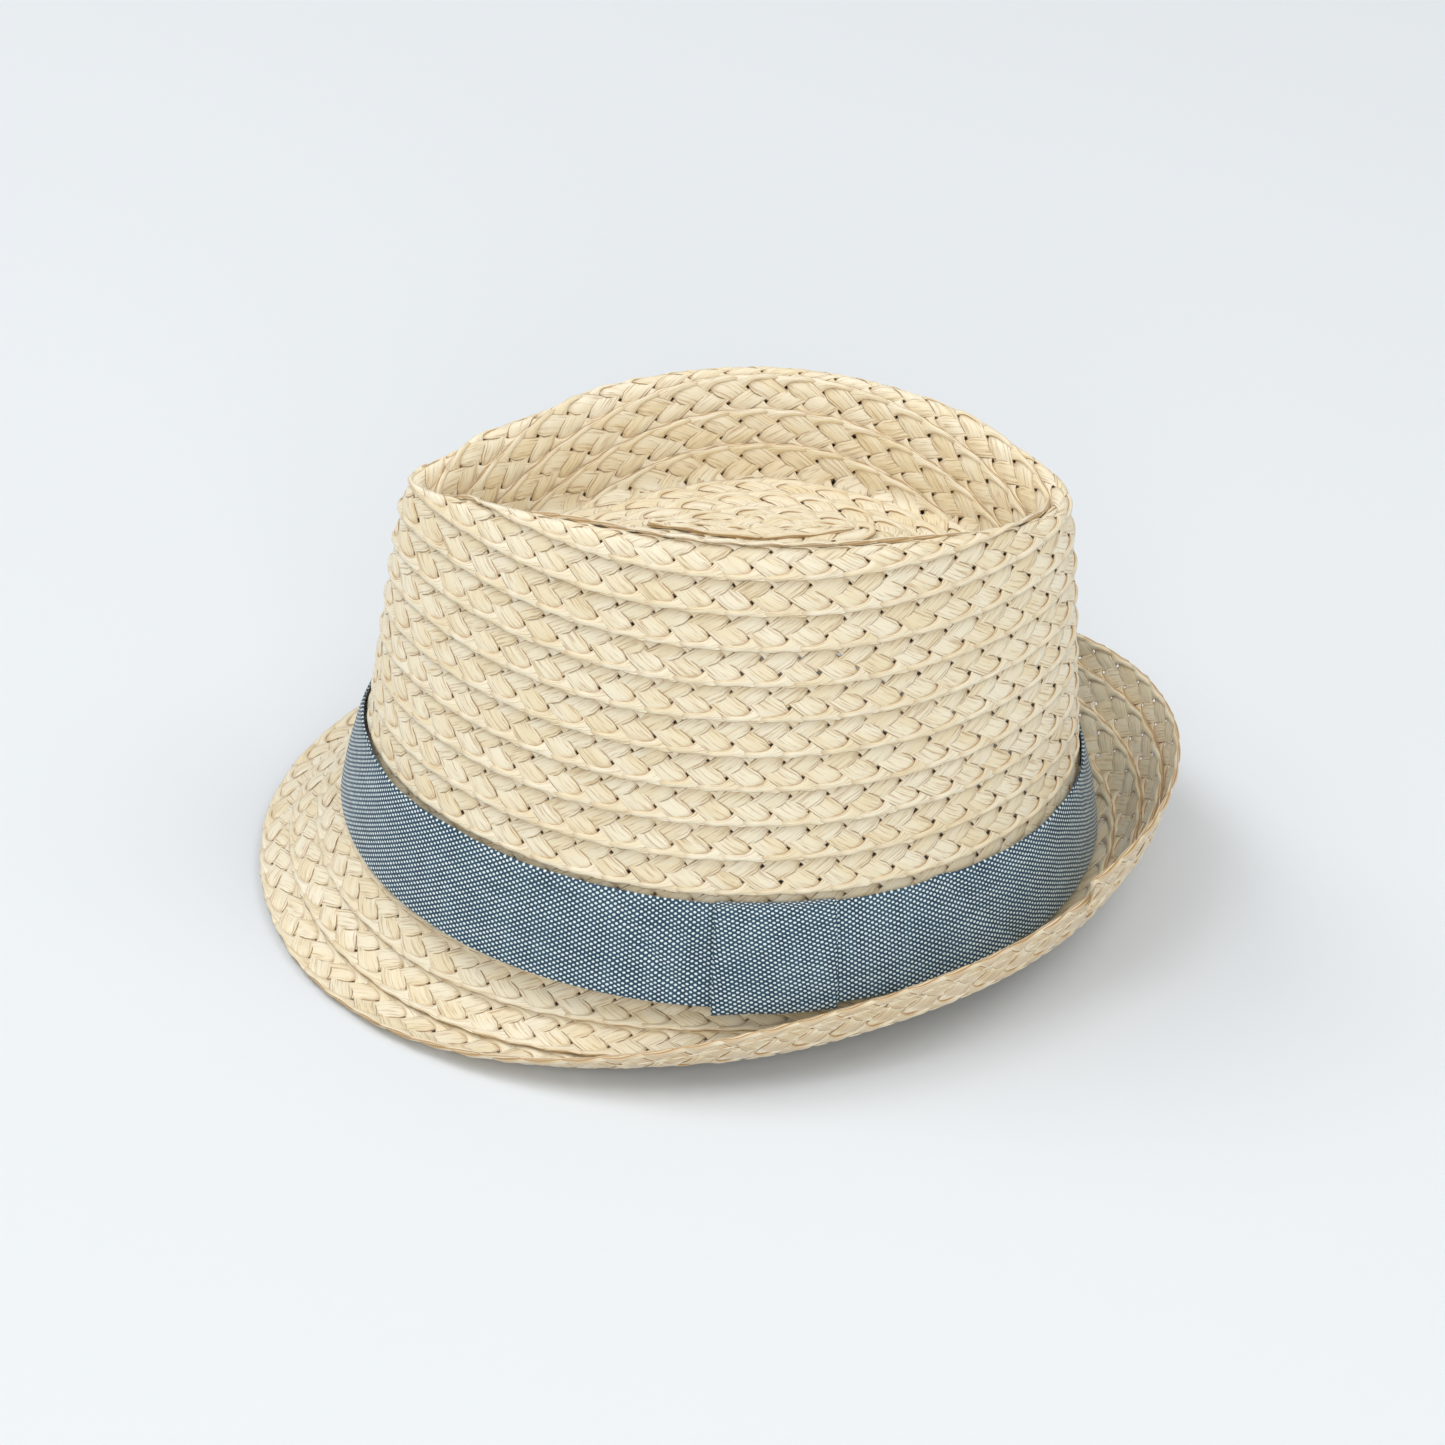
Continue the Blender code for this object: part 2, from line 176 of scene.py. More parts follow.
class Growth(Tree):  # a geometry tree with named inputs
    def __init__(self, name, sizes):
        super().__init__(bpy.data.node_groups.new(name, "GeometryNodeTree"))
        face = self.group.interface
        kinds = {float: "NodeSocketFloat", int: "NodeSocketInt", bpy.types.Object: "NodeSocketObject",
                 bpy.types.Material: "NodeSocketMaterial"}
        self.ids = {}
        for key, value in sizes.items():
            made = face.new_socket(key, in_out="INPUT", socket_type=kinds[type(value)])
            self.ids[key] = made.identifier
        face.new_socket("Geometry", in_out="OUTPUT", socket_type="NodeSocketGeometry")
        self.source = self.group.nodes.new("NodeGroupInput")
        self.sizes = sizes

    def take(self, key):
        return Value(self, self.source.outputs[key])

    def meshOf(self, key):
        return self.add("GeometryNodeObjectInfo", None, {"Object": self.take(key)}, "Geometry")

    def read(self, name, kind="FLOAT"):
        return self.add("GeometryNodeInputNamedAttribute", {"data_type": kind}, {"Name": name}, "Attribute")

    def store(self, geometry, name, value, kind="FLOAT"):
        inputs = {"Geometry": geometry, "Name": name, "Value": value}
        return self.add("GeometryNodeStoreNamedAttribute", {"data_type": kind, "domain": "POINT"}, inputs)

    def vmath(self, operation, *vectors, out=0):
        inputs = {i: v for i, v in enumerate(vectors)}
        return self.add("ShaderNodeVectorMath", {"operation": operation}, inputs, out)

    def scaled(self, vector, factor):
        return self.add("ShaderNodeVectorMath", {"operation": "SCALE"}, {"Vector": vector, "Scale": factor})

    # where a point of the sewn braid lies: this far along the course, this far across it
    def onHat(self, along, across, height):
        course = self.add("GeometryNodeMeshToCurve", None, {"Mesh": self.meshOf("course")})
        settings = {"data_type": "FLOAT_VECTOR", "mode": "LENGTH"}
        inputs = {"Curves": course, "Value": self.read("place", "FLOAT_VECTOR"), "Length": along}
        place = self.add("GeometryNodeSampleCurve", settings, inputs, "Value")
        turn, row, lift = self.split(place)
        form = self.meshOf("form")
        spot = self.vector(turn.maths("FRACT"), row + across / self.take("rowPitch"))
        found = []
        settings = {"data_type": "FLOAT_VECTOR"}
        for value in (self.add("GeometryNodeInputPosition"), self.read("outside", "FLOAT_VECTOR")):
            inputs = {"Mesh": form, "Value": value, "Source UV Map": self.read("spot", "FLOAT_VECTOR"),
                      "Sample UV": spot}
            found.append(self.add("GeometryNodeSampleUVSurface", settings, inputs, "Value"))
        outside = self.vmath("NORMALIZE", found[1])
        return self.vmath("ADD", found[0], self.scaled(outside, height + lift)), outside

    def finish(self, geometry):
        real = self.add("GeometryNodeRealizeInstances", None, {"Geometry": geometry})
        done = self.add("GeometryNodeSetMaterial", None, {"Geometry": real, "Material": self.take("finish")})
        output = self.group.nodes.new("NodeGroupOutput")
        self.group.links.new(done.socket, output.inputs[0])

    # runs the tree on an empty mesh and keeps the result as a plain mesh
    def grow(self, name, **changes):
        obj = newPiece(name, bpy.data.meshes.new(name))
        modifier = obj.modifiers.new("grow", "NODES")
        modifier.node_group = self.group
        for key, value in {**self.sizes, **changes}.items():
            modifier[self.ids[key]] = value
        bpy.context.view_layer.update()
        shape = obj.evaluated_get(bpy.context.evaluated_depsgraph_get())
        mesh = bpy.data.meshes.new_from_object(shape, preserve_all_data_layers=True,
                                               depsgraph=bpy.context.evaluated_depsgraph_get())
        obj.modifiers.remove(modifier)
        obj.data = mesh
        mesh.name = name
        return obj


def newPiece(name, mesh):
    obj = bpy.data.objects.new(name, mesh)
    bpy.context.scene.collection.objects.link(obj)
    return obj


def dress(obj, body="hat", stands=()):
    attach(obj, body)
    if stands:
        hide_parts(*stands)
    return obj


# the smooth form that the braid is sewn to; where three sizes stand together they are front, sides, back
hat = {
    "headLength": 200.0 * mm, "headWidth": 169.4 * mm, "headTilt": 4.6 * mm,
    "crownRise": 109.6 * mm, "crestLength": 172.1 * mm, "crestWidth": 84.6 * mm,
    "crestShift": 4.5 * mm, "crestSaddle": 5.5 * mm, "crestPinch": 0.40, "crestTeardrop": 0.18,
    "crestRound": 4.5 * mm, "dentRound": 6.8 * mm, "wallBulge": 0.5 * mm, "wallLean": 0.6,
    "dentDepth": 24.0 * mm, "dentInset": 15.5 * mm, "footSaddle": 2.2 * mm,
    "footLean": 0.25, "footSoften": 2.4 * mm,
    "islandRise": 6.0 * mm, "islandSoften": 1.5 * mm, "islandReach": (0.30, 0.35),
    "tipSeam": 43.0 * mm, "tipShift": 4.0 * mm,
    "brimOut": (28.4 * mm, 16.4 * mm, 24.8 * mm), "brimSquare": -4.1 * mm,
    "edgeRise": (-15.9 * mm, 3.3 * mm, 26.0 * mm), "edgeWave": 1.1 * mm, "edgeCrease": 1.5 * mm,
    "curl": (14.0 * mm, 15.5 * mm, 11.0 * mm),
    "edgeSlopes": (-28.0, 95.0, 70.0), "rootSlopes": (-40.0, -58.0, -25.0),
    "brimRows": 4.0, "crownRows": 19.4, "rowPitch": 9.45 * mm,
    "columns": 240, "rowSteps": 8, "pastEdge": 0.5, "pastMiddle": 1.1,
}
crownLow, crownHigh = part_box("crown_braid")
standAt = np.array([0.0, (crownLow.y + crownHigh.y) / 2,
                    crownHigh.z - hat["crownRise"] - hat["crestSaddle"]])


def unit(v):
    return v / np.linalg.norm(v, axis=-1, keepdims=True)


def around(t, front, side, back):
    ends = (front + back) / 2
    return (side + ends) / 2 + (back - front) / 2 * sin(t) + (side - ends) / 2 * cos(2 * t)


def outward(t):
    return unit(np.array([cos(t) / hat["headWidth"], sin(t) / hat["headLength"], 0.0]))


def headOval(t, grow, height):
    return np.array([(hat["headWidth"] / 2 + grow) * cos(t), (hat["headLength"] / 2 + grow) * sin(t), height])


def headLine(t):
    return headOval(t, 0.0, -hat["headTilt"] * sin(t))


def crestOval(t, inset, height):
    s = sin(t)
    taper = 1 + hat["crestTeardrop"] * s - hat["crestPinch"] * s * s
    x = (hat["crestWidth"] / 2 - inset) * cos(t) * taper
    return np.array([x, hat["crestShift"] + (hat["crestLength"] / 2 - inset) * s, height])


def slope(t, degrees):
    return outward(t) * cos(radians(degrees)) + up * sin(radians(degrees))


# Bezier points of the brim, wall, dent and tip at angle t, from the brim's edge to the middle
def profile(t):
    out = around(t, *hat["brimOut"]) + hat["brimSquare"] * (sin(3 * t) + sin(t))
    rise = around(t, *hat["edgeRise"]) + hat["edgeWave"] * (sin(3 * t) + sin(t))
    edge = headOval(t, out, rise + hat["edgeCrease"] * (cos(4 * t) - 1))
    head = headLine(t)
    reach = around(t, *hat["curl"])
    brim = (edge, edge - slope(t, around(t, *hat["edgeSlopes"])) * reach,
            head + slope(t, around(t, *hat["rootSlopes"])) * reach, head)
    crest = crestOval(t, 0.0, hat["crownRise"] + hat["crestSaddle"] * cos(2 * t))
    bow = head + (crest - head) * hat["wallLean"] + outward(t) * hat["wallBulge"]
    wall = (head, bow, crest + outward(t) * hat["crestRound"], crest)
    low = hat["crownRise"] - hat["dentDepth"]
    foot = crestOval(t, hat["dentInset"], low + hat["footSaddle"] * cos(2 * t))
    inward = unit((foot - crest) * (1, 1, 0))
    dent = (crest, crest + inward * hat["dentRound"],
            foot + (crest - foot) * hat["footLean"] + up * hat["footSoften"], foot)
    seam = hat["crestShift"] + hat["tipShift"] + hat["tipSeam"] / 2 * sin(t)
    middle = np.array([0.0, seam, low + hat["islandRise"]])
    first, last = hat["islandReach"]
    tip = (foot, foot + (middle - foot) * first + up * hat["islandSoften"],
           middle + (foot - middle) * (last, last, 0), middle)
    return brim, wall, dent, tip


def run(bezier, samples=48):
    s = np.linspace(0, 1, samples)[:, None]
    a, b, c, d = bezier
    return a * (1 - s) ** 3 + 3 * b * s * (1 - s) ** 2 + 3 * c * s * s * (1 - s) + d * s ** 3


def spaced(points, shares, past=0.0):
    lengths = np.concatenate([[0], np.cumsum(np.linalg.norm(np.diff(points, axis=0), axis=1))])
    at = shares * lengths[-1]
    found = np.stack([np.interp(at, lengths, points[:, k]) for k in range(3)], axis=1)
    start, end = unit(points[0] - points[1]), unit((points[-1] - points[-2]) * (1, 1, 0))
    found += np.maximum(-at, 0)[:, None] * start
    found += np.maximum(at - lengths[-1], 0)[:, None] * end
    return found


# points of the form at angle t, one for each value of rows: 0 at the edge, brimRows at the head line
def formLine(t, rows):
    brim, wall, dent, tip = (run(b) for b in profile(t))
    crown = np.concatenate([wall, dent[1:], tip[1:]])
    shares = rows / hat["brimRows"]
    low = spaced(brim, np.minimum(shares, 1.0))
    high = spaced(crown, np.maximum(rows - hat["brimRows"], 0) / hat["crownRows"])
    return np.where((rows < hat["brimRows"])[:, None], low, high) + standAt


def makeForm():
    total = hat["brimRows"] + hat["crownRows"]
    rows = np.arange(-hat["pastEdge"], total + hat["pastMiddle"], 1 / hat["rowSteps"])
    turns = np.arange(-1, hat["columns"] + 2) / hat["columns"]
    grid = np.array([formLine(2 * pi * turn, rows) for turn in turns])
    along = np.gradient(grid, axis=0)
    across = np.gradient(grid, axis=1)
    flip = rows > total - 0.5 / hat["rowSteps"]  # past the middle the columns have crossed over
    normals = np.cross(along, across)
    normals[:, flip] = up
    nearMiddle = np.clip((rows - (total - 1.5)) / 1.2, 0, 1)[None, :, None]
    normals = unit(unit(normals) * (1 - nearMiddle) + up * nearMiddle)
    count = len(rows)
    faces = [(i * count + j, (i + 1) * count + j, (i + 1) * count + j + 1, i * count + j + 1)
             for i in range(len(turns) - 1) for j in range(count - 1)]
    mesh = bpy.data.meshes.new("form")
    mesh.from_pydata(grid.reshape(-1, 3), [], faces)
    spots = np.array([(turn, row, 0.0) for turn in turns for row in rows])
    for name, values in (("spot", spots), ("outside", normals.reshape(-1, 3))):
        layer = mesh.attributes.new(name, "FLOAT_VECTOR", "POINT")
        layer.data.foreach_set("vector", values.ravel().astype(np.float32))
    return newPiece("form", mesh), grid, rows


form, formGrid, formRows = makeForm()
print("form of the hat", formGrid.shape)


def formPoint(turn, row):
    a = np.clip((turn % 1.0) * hat["columns"] + 1, 0, formGrid.shape[0] - 2)
    b = np.clip((row - formRows[0]) * hat["rowSteps"], 0, len(formRows) - 1.001)
    i, j, fa, fb = int(a), int(b), a - int(a), b - int(b)
    low = formGrid[i, j] * (1 - fb) + formGrid[i, j + 1] * fb
    high = formGrid[i + 1, j] * (1 - fb) + formGrid[i + 1, j + 1] * fb
    return low * (1 - fa) + high * fa


# the course of the one long braid, from the brim's edge round and round to the tip
course = {
    "firstRow": 0.68,      # middle of the outermost row
    "from": 0.36,          # share of a turn where the braid starts, behind on the right
    "tail": 0.20,          # turns of braid tucked under its own second turn
    "climb": 0.35,         # turns in which a level row climbs to the next one
    "level": 6.0,          # turns after which the rows are a plain spiral
    "tuck": 0.6 * mm,
    "closer": 0.16,        # rows by which the tucked start lies closer to the second turn
    "ridgeLift": 0.9 * mm,
    "endsPast": 0.6,       # turns of braid laid along the middle line of the tip
    "steps": 240,
}


def makeCourse():
    lastRow = hat["brimRows"] + hat["crownRows"]
    places, u = [], -course["tail"]
    while True:
        since = u + course["tail"]
        climb = np.clip((since % 1.0 - (1 - course["climb"])) / course["climb"], 0, 1)
        stair = np.floor(since) + climb * climb * (3 - 2 * climb)
        level = max(0.0, 1 - max(since, 0) / course["level"])
        row = course["firstRow"] + since + (stair - since) * level
        tucked = np.clip((course["climb"] - since) / course["climb"], 0, 1)
        row += course["closer"] * tucked
        toMiddle = np.clip((row - (lastRow - 1.0)) / 0.5, 0, 1)
        places.append((course["from"] + u, min(row, lastRow), -course["tuck"] * tucked, toMiddle))
        if row > lastRow + course["endsPast"]:
            break
        u += 1 / course["steps"]
    places = np.array(places)
    places[:, 2] += course["ridgeLift"] * places[:, 3]
    points = [formPoint(turn, row) for turn, row, lift, flat in places]
    mesh = bpy.data.meshes.new("course")
    mesh.from_pydata(points, [(i, i + 1) for i in range(len(points) - 1)], [])
    layer = mesh.attributes.new("place", "FLOAT_VECTOR", "POINT")
    layer.data.foreach_set("vector", places[:, :3].ravel().astype(np.float32))
    flat = mesh.attributes.new("flat", "FLOAT", "POINT")
    flat.data.foreach_set("value", places[:, 3].astype(np.float32))
    lengths = np.concatenate([[0], np.cumsum(np.linalg.norm(np.diff(points, axis=0), axis=1))])
    return newPiece("course", mesh), lengths, places


courseLine, courseLengths, coursePlaces = makeCourse()
print("course of the braid", round(courseLengths[-1], 2), "m")


def lengthAtRow(row):
    return float(np.interp(row, coursePlaces[:, 1], courseLengths))


def finish(name, sheen=0.0, specular=0.5):
    made = bpy.data.materials.new(name)
    made.use_nodes = True
    made.node_tree.nodes.clear()
    tree = Tree(made.node_tree)
    tree.material = made
    tree.shader = tree.add("ShaderNodeBsdfPrincipled", None,
                           {"Sheen Weight": sheen, "Specular IOR Level": specular}, "BSDF")
    output = tree.group.nodes.new("ShaderNodeOutputMaterial")
    tree.group.links.new(tree.shader.socket, output.inputs["Surface"])
    return tree


def wire(tree, **inputs):
    names = {"colour": "Base Color", "rough": "Roughness", "normal": "Normal"}
    for key, value in inputs.items():
        socket = tree.shader.socket.node.inputs[names[key]]
        if isinstance(value, Value):
            tree.group.links.new(value.socket, socket)
        else:
            socket.default_value = value
    return tree.material


def attribute(tree, name, out="Fac"):
    return tree.add("ShaderNodeAttribute", {"attribute_name": name}, None, out)


straw = {
    # fold is the brown of the dark fibres, and also the colour of the painted shade in the creases, under the
    # crossings and along the strand edges; the last three weights below set how strong that painted shade is
    "pale": (0.87, 0.79, 0.60, 1.0), "warm": (0.82, 0.70, 0.46, 1.0), "fold": (0.43, 0.25, 0.09, 1.0),
    "light": (0.92, 0.88, 0.74, 1.0),
    "sheen": 0.30, "specular": 0.60, "rough": (0.42, 0.62), "fibre": 0.12 * mm,
    "patchRate": 45.0, "fibreRate": 60.0, "breakRate": 120.0,  # per metre of braid
    "darkFibres": 0.62, "lightFibres": 0.35, "creaseShade": 0.60, "under": 0.45, "edges": 0.88,
}


def strawFinish():
    t = finish("straw_braid", sheen=straw["sheen"], specular=straw["specular"])
    along, across = attribute(t, "along"), attribute(t, "across")
    strand, over = attribute(t, "strand"), attribute(t, "over")
    lengthwise = t.vector(along * straw["fibreRate"], across * 2.4, strand * 3.7)
    streak = t.noise(lengthwise, 2.4, 4.0, 0.65)
    patch = t.noise(t.vector(along * straw["patchRate"], strand * 5.1, across * 0.4), 1.0, 2.0)
    base = t.blend(t.smooth(patch, 0.35, 0.68), straw["pale"], straw["warm"])
    grained = t.blend(t.smooth(streak, 0.50, 0.68) * straw["darkFibres"], base, straw["fold"])
    grained = t.blend(t.smooth(streak, 0.46, 0.30) * straw["lightFibres"], grained, straw["light"])
    edge = across.maths("ABSOLUTE")
    crease = t.smooth(edge, 0.62, 0.70) * t.smooth(edge, 0.82, 0.72)
    broken = t.smooth(t.noise(t.vector(along * straw["breakRate"], strand * 2.0, 0.0), 1.0), 0.42, 0.6)
    # painted shade: broken darker lines along the fold creases of each strand
    creaseShaded = t.blend(crease * broken * straw["creaseShade"], grained, straw["fold"])
    # painted shade: the strands darken towards the fold brown where they pass under another strand, and in a
    # thin shadow line along their edges
    paintedShade = t.smooth(over, 0.2, -0.9) * straw["under"] + t.smooth(edge, 0.87, 0.98) * straw["edges"]
    colour = t.blend(paintedShade, creaseShaded, straw["fold"])
    height = streak * 1.0 + crease * -0.35
    normal = t.add("ShaderNodeBump", None, {"Strength": 0.35, "Distance": straw["fibre"], "Height": height})
    return wire(t, colour=colour, rough=t.smooth(streak, 0.3, 0.8, straw["rough"]), normal=normal)


print("finishes")
strawMaterial = strawFinish()

# the plait: flat strands that run from edge to edge, over one and under one
plait = {
    "form": form, "course": courseLine, "finish": strawMaterial,
    "start": 0.0, "end": 1.0, "samples": 100,
    "strands": 5, "cycle": 50.5 * mm, "swing": 4.8 * mm,
    "width": 5.9 * mm, "edgeWidth": 1.7 * mm, "thick": 0.42 * mm, "edgeThick": 1.25 * mm,
    "bow": 0.34 * mm, "tilt": 0.16, "sink": 1.4 * mm, "rowPitch": hat["rowPitch"],
    "dwell": 0.5, "skew": 0.0216 / mm,
    "loose": 0.8 * mm, "uneven": 0.5,
}
wander = {  # rate per metre and seed of each slow change along a strand
    "width": (90.0, 1.0), "sideways": (70.0, 2.0), "ahead": (55.0, 3.0),
    "twist": (80.0, 4.0), "lift": (60.0, 5.0),
    "twistBy": 0.5 * mm, "liftBy": 0.3 * mm,
}
crossings = (0.2, 0.8)  # first and last crossing, as shares of the way from edge to edge


def plaitTree():
    g = Growth("plait", plait)
    ends = {"Start": g.vector(g.take("start")), "End": g.vector(g.take("end"))}
    line = g.add("GeometryNodeCurvePrimitiveLine", None, ends)
    line = g.add("GeometryNodeResampleCurve", None, {"Curve": line, "Count": g.take("samples")})
    copies = g.add("GeometryNodeDuplicateElements", {"domain": "SPLINE"},
                   {"Geometry": line, "Amount": g.take("strands")}, "Geometry")
    number = g.also(copies, "Duplicate Index") + 0.0
    named = g.store(copies, "strand", number)
    ring = g.add("GeometryNodeCurvePrimitiveCircle", None, {"Resolution": 8, "Radius": 1.0})
    tube = g.add("GeometryNodeCurveToMesh", None, {"Curve": named, "Profile Curve": ring, "Fill Caps": True})
    s, side, top = g.split(g.add("GeometryNodeInputPosition"))  # along the braid, round a strand
    strand = g.read("strand")

    def drift(kind):  # slow wandering along a strand, about 0
        rate, seed = wander[kind]
        return g.noise(g.vector(s * rate, strand * 7.31, seed), 1.0, 1.0) - 0.5

    phase = s / g.take("cycle") + strand / g.take("strands")
    angle = (phase - 0.25) * (2 * pi)
    # a sine that is steeper in the middle and dwells along the edges
    sway, steep = angle.maths("SINE"), angle.maths("COSINE")
    swing = g.take("swing") * (g.take("dwell") + 1.0).maths("SQRT")
    held = sway * sway * g.take("dwell") + 1.0
    centre = swing * sway / held.maths("SQRT")
    rate = swing * steep / held ** 1.5 * (2 * pi) / g.take("cycle")
    heading = rate.maths("ARCTANGENT")
    atEdge = g.smooth(centre.maths("ABSOLUTE") / g.take("swing"), 0.62, 0.95)
    wide = g.take("width") + (g.take("edgeWidth") - g.take("width")) * atEdge
    wide = wide * (drift("width") * g.take("uneven") + 1.0)
    thick = g.take("thick") + (g.take("edgeThick") - g.take("thick")) * atEdge
    flatter = side.maths("ABSOLUTE") ** 0.5
    lateral = flatter * side.maths("SIGN") * wide * 0.5
    across = centre + heading.maths("COSINE") * lateral + drift("sideways") * g.take("loose")
    along = s - heading.maths("SINE") * lateral + drift("ahead") * g.take("loose") * 2.0

    # share of the way from edge to edge, and the rise and fall over the four crossings on that way
    first, last = crossings
    way = (phase * 2.0).maths("FRACT") + g.take("skew") * lateral * steep
    way = way.maths("MINIMUM", 1.0).maths("MAXIMUM", 0.0)
    between = (way - first).maths("MAXIMUM", 0.0).maths("MINIMUM", last - first)
    theta = way.maths("MINIMUM", first) * (2.5 * pi) + between * (5 * pi)
    theta = theta + (way - last).maths("MAXIMUM", 0.0) * (2.5 * pi) - pi / 2
    over = theta.maths("COSINE")
    courseCurve = g.add("GeometryNodeMeshToCurve", None, {"Mesh": g.meshOf("course")})
    flat = g.add("GeometryNodeSampleCurve", {"data_type": "FLOAT", "mode": "LENGTH"},
                 {"Curves": courseCurve, "Value": g.read("flat"), "Length": s}, "Value")
    tilt = g.take("tilt") * (1.0 - flat)
    height = over * g.take("bow") + top * thick * 0.5 - across * tilt - g.take("sink")
    height = height + drift("twist") * side * wander["twistBy"] + drift("lift") * wander["liftBy"]
    position, outside = g.onHat(along, across, height)

    stored = tube
    for name, value in (("along", s), ("across", lateral / wide * 2.0), ("over", over)):
        stored = g.store(stored, name, value)
    moved = g.add("GeometryNodeSetPosition", None, {"Geometry": stored, "Position": position})
    g.finish(moved)
    return g


def makePlait():
    tree = plaitTree()
    lastRow = hat["brimRows"] + hat["crownRows"]
    # name, first and last row, and the solid it replaces; no piece may have too many faces
    stretches = (("brim_plait", 0.0, 4.4, ("brim_braid",)),
                 ("crown_plait_low", 4.4, 9.4, ()),
                 ("crown_plait", 9.4, 14.4, ("crown_braid",)),
                 ("crown_plait_crest", 14.4, 19.4, ()),
                 ("tip_plait", 19.4, lastRow + 1, ("tip_braid",)))
    step = 1.25 * mm
    for name, low, high, stands in stretches:
        start, end = lengthAtRow(low), lengthAtRow(high)
        piece = tree.grow(name, start=start, end=end, samples=int((end - start) / step))
        piece.data.shade_smooth()
        dress(piece, stands=stands)
        print(name, len(piece.data.polygons), "faces")


makePlait()

chambray = {
    "warp": (0.020, 0.052, 0.088, 1.0), "warpPale": (0.040, 0.090, 0.135, 1.0),
    "weft": (0.72, 0.81, 0.82, 1.0),
    "threads": (1.05 * mm, 0.61 * mm), "float": 0.38, "relief": 0.10 * mm,
}


# plain weave on the piece's own UV map, which is in metres; one system of threads floats pale
def weave(t, look, skewed=0.0):
    u, v, _ = t.split(t.add("ShaderNodeUVMap", {"uv_map": "cloth"}))
    wander = t.noise(t.vector(u, v, 0.0), 160.0, 1.0) - 0.5
    a = (u + v * skewed + wander * (0.5 * mm)) / look["threads"][0]
    b = (v - u * skewed + wander * (0.4 * mm)) / look["threads"][1]
    slub = t.noise(t.vector(a.maths("FLOOR") * 0.37, v * 60.0, 0.0), 1.0, 2.0)
    weftSlub = t.noise(t.vector(u * 60.0, b.maths("FLOOR") * 0.37, 3.0), 1.0, 2.0)
    crossed = (a.maths("FLOOR") + b.maths("FLOOR")) * 0.5
    upper = (crossed.maths("FRACT") * 2.0).maths("ROUND")  # 1 where the pale thread is on top
    x, y = a.maths("FRACT") - 0.5, b.maths("FRACT") - 0.5
    size = (weftSlub - 0.5) * 0.24 + look["float"]
    oval = (x * x * 1.1 + y * y * 0.85).maths("SQRT")
    dot = upper * t.smooth(oval, size + 0.09, size - 0.05)
    ground = t.blend(t.smooth(slub, 0.3, 0.75), look["warp"], look["warpPale"])
    # painted shade: the ground darkens towards near-black in the gaps between the threads
    gap = t.smooth(x.maths("ABSOLUTE") + y.maths("ABSOLUTE"), 0.62, 0.95) * 0.35
    colour = t.blend(dot, t.blend(gap, ground, (0.02, 0.03, 0.05, 1.0)), look["weft"])
    height = dot * 1.0 - gap * 0.6 + slub * 0.4
    normal = t.add("ShaderNodeBump", None, {"Strength": 0.5, "Distance": look["relief"], "Height": height})
    return colour, normal


def clothFinish(name, look, sheen, skewed=0.0):
    t = finish(name, sheen=sheen, specular=0.25)
    colour, normal = weave(t, look, skewed)
    return wire(t, colour=colour, rough=0.88, normal=normal)


cottonTape = {
    "warp": (0.62, 0.56, 0.43, 1.0), "warpPale": (0.72, 0.66, 0.53, 1.0),
    "weft": (0.80, 0.75, 0.63, 1.0),
    "threads": (0.70 * mm, 0.50 * mm), "float": 0.40, "relief": 0.14 * mm,
}
labelSatin = {
    "warp": (0.80, 0.80, 0.77, 1.0), "warpPale": (0.86, 0.86, 0.83, 1.0),
    "weft": (0.90, 0.90, 0.88, 1.0),
    "threads": (0.20 * mm, 0.20 * mm), "float": 0.40, "relief": 0.03 * mm,
}


def threadFinish():
    t = finish("sewing_thread", sheen=0.15, specular=0.4)
    x, y, z = t.split(t.add("ShaderNodeTexCoord", None, None, "Object"))
    twist = ((x + y + z * 1.3) * (2 * pi / (0.5 * mm))).maths("SINE")
    grain = t.noise(t.vector(x, y, z), 900.0, 2.0)
    colour = t.blend(t.smooth(twist, -1.0, 1.0) * 0.5 + grain * 0.3,
                     (0.66, 0.56, 0.38, 1.0), (0.85, 0.78, 0.60, 1.0))
    normal = t.add("ShaderNodeBump", None, {"Strength": 0.4, "Distance": 0.05 * mm, "Height": twist})
    return wire(t, colour=colour, rough=0.55, normal=normal)


chambrayMaterial = clothFinish("chambray", chambray, 0.25, 0.02)
tapeMaterial = clothFinish("cotton_tape", cottonTape, 0.2)
satinMaterial = clothFinish("label_satin", labelSatin, 0.3)
threadMaterial = threadFinish()


# a strip of cloth: loops round its section, each with its place along the strip, closed at both ends
def strip(name, loops, uvs, material, ring=False):
    count, size = len(loops), len(loops[0])
    faces, corners = [], []
    for i in range(count if ring else count - 1):
        for j in range(size):
            k, n = (i + 1) % count, (j + 1) % size
            faces.append((i * size + j, i * size + n, k * size + n, k * size + j))
            a, b = uvs[i], uvs[i + 1]
            corners += [a[j], a[j + 1], b[j + 1], b[j]]
    if not ring:
        for end, order in ((0, range(size)), (count - 1, range(size - 1, -1, -1))):
            faces.append([end * size + j for j in order])
            corners += [uvs[end][j] for j in order]
    mesh = bpy.data.meshes.new(name)
    mesh.from_pydata(np.array(loops).reshape(-1, 3), [], faces)
    layer = mesh.uv_layers.new(name="cloth")
    layer.data.foreach_set("uv", np.array(corners, np.float32).ravel())
    mesh.materials.append(material)
    if volume(mesh) < 0:
        mesh.flip_normals()
    mesh.shade_smooth()
    return newPiece(name, mesh)


def volume(mesh):
    mesh.calc_loop_triangles()
    at = np.array([v.co for v in mesh.vertices])
    a, b, c = (at[[t.vertices[k] for t in mesh.loop_triangles]] for k in range(3))
    return float(np.einsum("ij,ij->i", a, np.cross(b, c)).sum())


